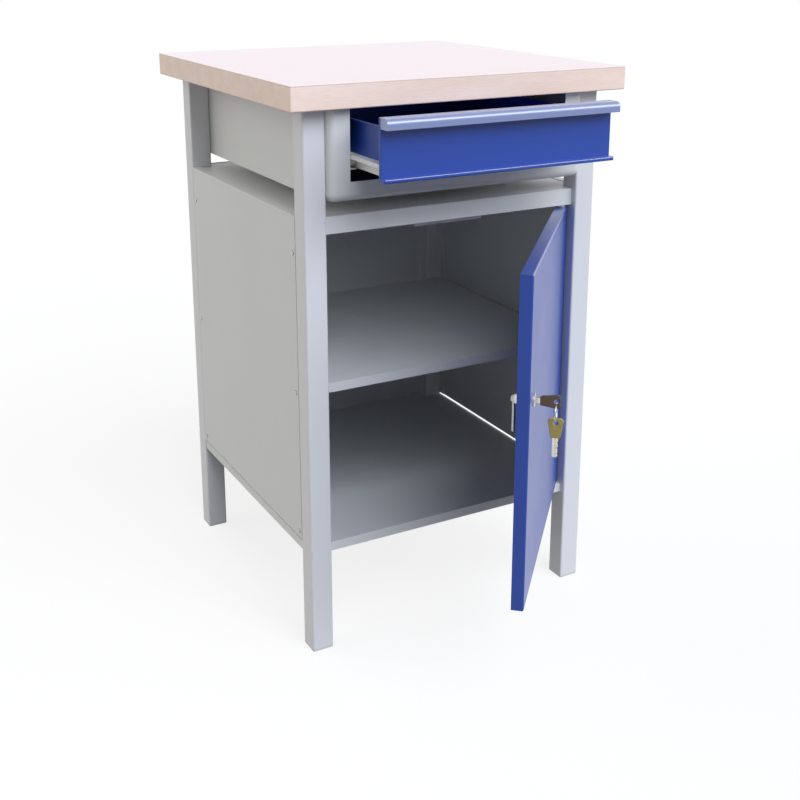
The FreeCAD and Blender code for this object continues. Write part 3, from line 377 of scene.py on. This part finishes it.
# %% [markdown]
# ## Soft edges
#
# A folded or cut sheet never has a knife edge: the fold has a radius of about its gauge, and the coat
# rounds the cut. Turned screws, rollers and lock parts have a small chamfer too. A narrow bevel modifier
# gives each edge the thin highlight that a photograph shows.

# %% Bevel the edges
EDGES_MM = {"cabinet_paint": 0.45, "door_paint": 0.45, "runner_white": 0.45, "nickel": 0.35, "zinc": 0.4,
            "roller_nylon": 0.5}
SHEET_SEGMENTS = 2
SHEET_BEVEL_ANGLE = 40


def soften(piece, name, width_mm, segments, angle):
    """Round a piece's edges that are sharper than this angle."""
    bevel = piece.modifiers.new(name, "BEVEL")
    bevel.width = width_mm * MM
    bevel.segments = segments
    bevel.limit_method = "ANGLE"
    bevel.angle_limit = math.radians(angle)


for part in frame["record"]["subparts"]:
    part_slot = part["material_slot"]
    if part_slot in EDGES_MM:
        soften(nodes[part["node"]], "fold", EDGES_MM[part_slot], SHEET_SEGMENTS, SHEET_BEVEL_ANGLE)
print("bevelled", sum(1 for piece in nodes.values() if piece.modifiers))

# %% [markdown]
# ## Where the keys hang
#
# One key sits in the lock, and the other hangs from its bow on a ring. The construction model has them as
# plain plates. The lock and the ring each turn on a joint, and these joints give three directions that fit
# the door as it stands open: along the door, into the cupboard, and up. The keys are drawn on paper, so to
# speak, with their length and width in millimetres, and these directions carry the drawing to its place.

# %% Directions at the lock
joints = {row["name"]: row for row in frame["joints"]}
INTO = Vector(joints["lock_turn"]["axis"])
ALONG = Vector(joints["ring_swing"]["axis"])
UP = Vector((0, 0, 1))
bow_hole = Vector(joints["ring_swing"]["pos_m"])
ring_low, ring_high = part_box("key_ring")
ring_middle = Vector((bow_hole.x, bow_hole.y, (ring_low.z + ring_high.z) / 2))
print("hole of the key's bow:", [round(value / MM, 1) for value in bow_hole])

# %% [markdown]
# ## Skin over rings of points
#
# A bow with a hole and a blade with cuts have one thing in common: both are rings of points with a skin
# between each ring and the next. For the bow the rings run round the hole and round the rim, on both faces.
# For the blade each ring is one cross-section. One helper lays the skin for both, which makes clean quads
# and leaves no stray faces.

# %% Skin helper
SMOOTH_BELOW = 35
MOULD_SEGMENTS = 3


def skin(name, rings, closed):
    """Mesh piece of quads between rings of equally many points, closed to a loop or capped at its ends."""
    count = len(rings[0])
    faces = []
    for step in range(len(rings) if closed else len(rings) - 1):
        here, there = step * count, (step + 1) % len(rings) * count
        for spot in range(count):
            following = (spot + 1) % count
            faces.append((here + spot, here + following, there + following, there + spot))
    if not closed:
        last = (len(rings) - 1) * count
        faces += [tuple(reversed(range(count))), tuple(range(last, last + count))]
    mesh = bpy.data.meshes.new(name)
    mesh.from_pydata([point for ring in rings for point in ring], [], faces)
    work = bmesh.new()
    work.from_mesh(mesh)
    bmesh.ops.recalc_face_normals(work, faces=work.faces)
    work.to_mesh(mesh)
    work.free()
    mesh.shade_smooth()
    mesh.set_sharp_from_angle(angle=math.radians(SMOOTH_BELOW))
    piece = bpy.data.objects.new(name, mesh)
    scene.collection.objects.link(piece)
    return piece


def settle(piece, body, node, material, round_mm=0):
    """Give a new piece its finish, soft edges and body, and hide the node that it stands for."""
    piece.data.materials.append(material)
    if round_mm:
        soften(piece, "edge", round_mm, MOULD_SEGMENTS, SMOOTH_BELOW)
    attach(piece, body)
    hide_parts(node)


print("edges smooth below", SMOOTH_BELOW, "degrees")

# %% [markdown]
# ## Key bows
#
# The bows are moulded plastic, wide where the fingers hold them and narrower at the blade, with round
# corners and a hole for the ring. The outline is four corners with an arc in each, and points at short
# steps between them. Seen from the hole it has no hidden part, so each point on the rim is paired with the
# point of the hole that lies in the same direction, and the short steps keep the hole round.

# %% Bows with a hole
BOW_THICK_MM = 3.2
BOW_HOLE_MM = 3.6
BOW_ARC_STEPS = 10
BOW_STEP_MM = 1.2
BOW_ROUND_MM = 5
FOOT_ROUND_MM = 2.5
FOOT_HALF_MM = 6.6
BOW_EDGE_MM = 0.7
KEY_LONG_MM = 28
KEY_HEAD_MM = 6
SPARE_HEAD_MM = 7
SPARE_HALF_MM = 11.5


def rounded_outline(corners):
    """Close points round a convex outline; each corner is given as length, width and radius."""
    points = []
    for spot, (x, y, radius) in enumerate(corners):
        corner = Vector((x, y))
        before = (Vector(corners[spot - 1][:2]) - corner).normalized()
        after = (Vector(corners[(spot + 1) % len(corners)][:2]) - corner).normalized()
        half = before.angle(after) / 2
        centre = corner + (before + after).normalized() * (radius / math.sin(half))
        start = corner + before * (radius / math.tan(half)) - centre
        end = corner + after * (radius / math.tan(half)) - centre
        for step in range(BOW_ARC_STEPS + 1):
            points.append(centre + start.slerp(end, step / BOW_ARC_STEPS).normalized() * radius)
    close = []
    for here, there in zip(points, points[1:] + points[:1]):
        parts = math.ceil((there - here).length / BOW_STEP_MM)
        close += [here.lerp(there, part / parts) for part in range(parts)]
    return close


def make_bow(name, hole, lengthwise, crosswise, head_mm, foot_mm, half_mm):
    """Moulded bow round its hole; lengths run from the hole, towards the head and towards the blade."""
    outline = rounded_outline([
        (-head_mm, -half_mm, BOW_ROUND_MM), (-head_mm, half_mm, BOW_ROUND_MM),
        (foot_mm, FOOT_HALF_MM, FOOT_ROUND_MM), (foot_mm, -FOOT_HALF_MM, FOOT_ROUND_MM)])
    rim = [(point.x, point.y) for point in outline]
    bore = [tuple(point.normalized() * BOW_HOLE_MM) for point in outline]
    half = BOW_THICK_MM / 2
    rings = [
        [hole + (lengthwise * x + crosswise * y + ALONG * depth) * MM for x, y in line]
        for line, depth in ((bore, half), (rim, half), (rim, -half), (bore, -half))
    ]
    return skin(name, rings, closed=True)


spare_low, spare_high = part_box("spare_key_bow")
spare_hole = Vector((bow_hole.x, bow_hole.y, spare_high.z - SPARE_HEAD_MM * MM))
spare_length = (spare_high.z - spare_low.z) / MM
spare_bow = make_bow("spare_key_bow_moulded", spare_hole, -UP, INTO, SPARE_HEAD_MM,
                     spare_length - SPARE_HEAD_MM, SPARE_HALF_MM)
settle(spare_bow, "ring", "spare_key_bow", bow_plastic, BOW_EDGE_MM)
key_low, key_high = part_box("key_bow")
key_half = (key_high.z - key_low.z) / 2 / MM
key_bow = make_bow("key_bow_moulded", bow_hole, INTO, UP, KEY_HEAD_MM, KEY_LONG_MM - KEY_HEAD_MM, key_half)
settle(key_bow, "lock", "key_bow", brown_plastic, BOW_EDGE_MM)
print("bows:", round(spare_length, 1), "and", KEY_LONG_MM, "mm long")

# %% [markdown]
# ## Spare key's blade
#
# The blade is a stamped brass strip with a milled groove along each face and cuts along one edge, nickel
# plated. Each cross-section has twelve corners: the strip's own and those of both grooves. One edge
# follows a list of cut depths. The root is tucked into the bow, and the tip slopes to a blunt point.

# %% Blade with cuts
BLADE_HALF_THICK_MM = 1.1
BLADE_HALF_MM = 4
GROOVE_FROM_MM, GROOVE_TO_MM, GROOVE_DEEP_MM = -0.9, 1.1, 0.4
CUT_DEPTHS_MM = (1.2, 0.5, 1.9, 1.0, 1.6)
CUT_PITCH_MM = 4
CUT_START_MM = 4.5
CUT_SLOPE_MM = 1.2
TIP_MM = 2.5
TUCK_MM = 1.5


def blade_stations(length_mm):
    """Cross-sections down the blade, as distance from the root and both edges."""
    stations = [(-TUCK_MM, -BLADE_HALF_MM, BLADE_HALF_MM)]
    for spot, depth in enumerate(CUT_DEPTHS_MM):
        start = CUT_START_MM + spot * CUT_PITCH_MM
        floor = -BLADE_HALF_MM + depth
        stations += [
            (start, -BLADE_HALF_MM, BLADE_HALF_MM), (start + CUT_SLOPE_MM, floor, BLADE_HALF_MM),
            (start + CUT_PITCH_MM - CUT_SLOPE_MM, floor, BLADE_HALF_MM)]
    stations.append((length_mm - TIP_MM, -BLADE_HALF_MM, BLADE_HALF_MM))
    stations.append((length_mm, -BLADE_HALF_MM + TIP_MM, TIP_MM))
    return stations


def make_blade(name, root, length_mm):
    """Key blade that hangs down from its root, with grooves and cuts."""
    thick, groove = BLADE_HALF_THICK_MM, GROOVE_DEEP_MM
    rings = []
    for along, low, high in blade_stations(length_mm):
        side = [(low, thick), (GROOVE_FROM_MM, thick), (GROOVE_FROM_MM + groove, thick - groove),
                (GROOVE_TO_MM - groove, thick - groove), (GROOVE_TO_MM, thick), (high, thick)]
        section = side + [(width, -across) for width, across in reversed(side)]
        rings.append([root + (INTO * width + ALONG * across - UP * along) * MM for width, across in section])
    return skin(name, rings, closed=False)


blade_low, blade_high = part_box("spare_key_blade")
blade_root = Vector((bow_hole.x, bow_hole.y, blade_high.z))
blade_length = (blade_high.z - blade_low.z) / MM
blade = make_blade("spare_key_blade_cut", blade_root, blade_length)
settle(blade, "ring", "spare_key_blade", nickel)
print("blade:", round(blade_length, 1), "mm long")

# %% [markdown]
# ## Split ring
#
# A key ring is spring wire wound twice round, and the slit between the turns is where keys are threaded
# on. A curve with a round profile does this: its points run round twice and move sideways by one wire in
# each turn.

# %% Ring of two turns
RING_MM = 13
WIRE_MM = 0.4
WIRE_ROUNDNESS = 4
RING_TURNS = 2
RING_POINTS = 160


def make_split_ring():
    """Two turns of wire that lie side by side."""
    data = bpy.data.curves.new("key_ring_split", "CURVE")
    data.dimensions = "3D"
    data.bevel_depth = WIRE_MM * MM
    data.bevel_resolution = WIRE_ROUNDNESS
    data.use_fill_caps = True
    wire = data.splines.new("POLY")
    wire.points.add(RING_POINTS - 1)
    for spot, point in enumerate(wire.points):
        share = spot / (RING_POINTS - 1)
        turn = share * RING_TURNS * 2 * math.pi
        sideways = (2 * share - 1) * WIRE_MM * RING_TURNS
        place = ring_middle + (ALONG * math.cos(turn) * RING_MM + UP * math.sin(turn) * RING_MM
                               + INTO * sideways) * MM
        point.co = (*place, 1)
    ring = bpy.data.objects.new("key_ring_split", data)
    scene.collection.objects.link(ring)
    return ring


settle(make_split_ring(), "ring", "key_ring", nickel)
print("ring:", RING_MM * 2, "mm across its wire")

# %% [markdown]
# ## Floor
#
# The bench stands on white and its metal mirrors white, so the floor and the world are white to rays from
# the camera and to sharp reflections. The floor gets there with a glow that only those rays see. Its own
# colour is a middle grey, so that little light is thrown up into the cupboard, and it keeps a soft shadow.

# %% Floor
FLOOR_HALF = 12
FLOOR_GREY = "7c7c7c"
FLOOR_GLOW = 0.8


def seen_directly(tree):
    """One for rays from the camera and for mirrored or refracted rays, nought for soft light."""
    rays = add(tree, "ShaderNodeLightPath")
    sharp = add(tree, "ShaderNodeMath", {0: rays.outputs["Is Camera Ray"], 1: rays.outputs["Is Glossy Ray"]},
                operation="MAXIMUM")
    return add(tree, "ShaderNodeMath", {0: sharp.outputs["Value"], 1: rays.outputs["Is Transmission Ray"]},
               operation="MAXIMUM").outputs["Value"]


def make_floor():
    """Wide pale floor that is almost white to the camera and keeps the shadow."""
    mesh = bpy.data.meshes.new("floor")
    corners = [(-FLOOR_HALF, -FLOOR_HALF, 0), (FLOOR_HALF, -FLOOR_HALF, 0),
               (FLOOR_HALF, FLOOR_HALF, 0), (-FLOOR_HALF, FLOOR_HALF, 0)]
    mesh.from_pydata(corners, [], [(0, 1, 2, 3)])
    floor = bpy.data.objects.new("floor", mesh)
    scene.collection.objects.link(floor)
    material, tree = new_material("floor_pale")
    base = add(tree, "ShaderNodeBsdfDiffuse", {"Color": linear(FLOOR_GREY)})
    glow = add(tree, "ShaderNodeEmission", {
        "Color": linear("ffffff"),
        "Strength": add(tree, "ShaderNodeMath", {0: seen_directly(tree), 1: FLOOR_GLOW},
                        operation="MULTIPLY").outputs["Value"]})
    both = add(tree, "ShaderNodeAddShader", {0: base.outputs["BSDF"], 1: glow.outputs["Emission"]})
    add(tree, "ShaderNodeOutputMaterial", {"Surface": both.outputs["Shader"]})
    mesh.materials.append(material)


make_floor()
print("floor:", FLOOR_HALF * 2, "m wide")

# %% [markdown]
# ## World and lamps
#
# The world gives a weak, even light. The key lamp stands for a large window: it is broad, a little cool,
# almost straight ahead and 42 degrees up, because the shadow that the board throws on the legs is about as
# long as the board stands out. Further to the right, the open door would keep it off the lower shelf. The
# fill is warmer and comes from the left and a little behind, so it lights the side wall and leaves the
# front of the rear leg dark. A low lamp from the right reaches under the drawer, and a weak one from
# behind shows the back in other views. Together they light a white face that looks up about as brightly
# as white is written.

# %% World and lamps
WORLD_STRENGTH = 0.24
DAYLIGHT = "f1f5ff"
LAMPLIGHT = "fff9ef"
# each lamp's tint, degrees to the right of straight ahead, degrees up, power, and width in degrees
LAMPS = {
    "key": (DAYLIGHT, 8, 42, 2.7, 50),
    "fill": (LAMPLIGHT, -118, 20, 0.97, 50),
    "side": (DAYLIGHT, 52, 26, 0.8, 30),
    "rear": (LAMPLIGHT, -160, 20, 0.4, 40),
}


def make_world():
    """White to the camera and to reflections, and weaker as a light."""
    world = bpy.data.worlds.new("studio")
    scene.world = world
    world.use_nodes = True
    tree = world.node_tree
    tree.nodes.clear()
    strength = add(tree, "ShaderNodeMapRange", {"Value": seen_directly(tree), "To Min": WORLD_STRENGTH})
    sky = add(tree, "ShaderNodeBackground", {
        "Color": linear("ffffff"), "Strength": strength.outputs["Result"]})
    add(tree, "ShaderNodeOutputWorld", {"Surface": sky.outputs["Background"]})


def make_sun(name, tint, turn, height, power, softness):
    """Distant light, turned to the right from straight ahead and raised, in degrees."""
    data = bpy.data.lights.new(name, "SUN")
    data.color = linear(tint)[:3]
    data.energy = power
    data.angle = math.radians(softness)
    lamp = bpy.data.objects.new(name, data)
    scene.collection.objects.link(lamp)
    turn, height = math.radians(turn), math.radians(height)
    level = math.cos(height)
    source = Vector((math.sin(turn) * level, -math.cos(turn) * level, math.sin(height)))
    lamp.rotation_euler = source.to_track_quat("Z", "Y").to_euler()


make_world()
for lamp_name, lamp_settings in LAMPS.items():
    make_sun(lamp_name, *lamp_settings)
print("lamps:", ", ".join(LAMPS))
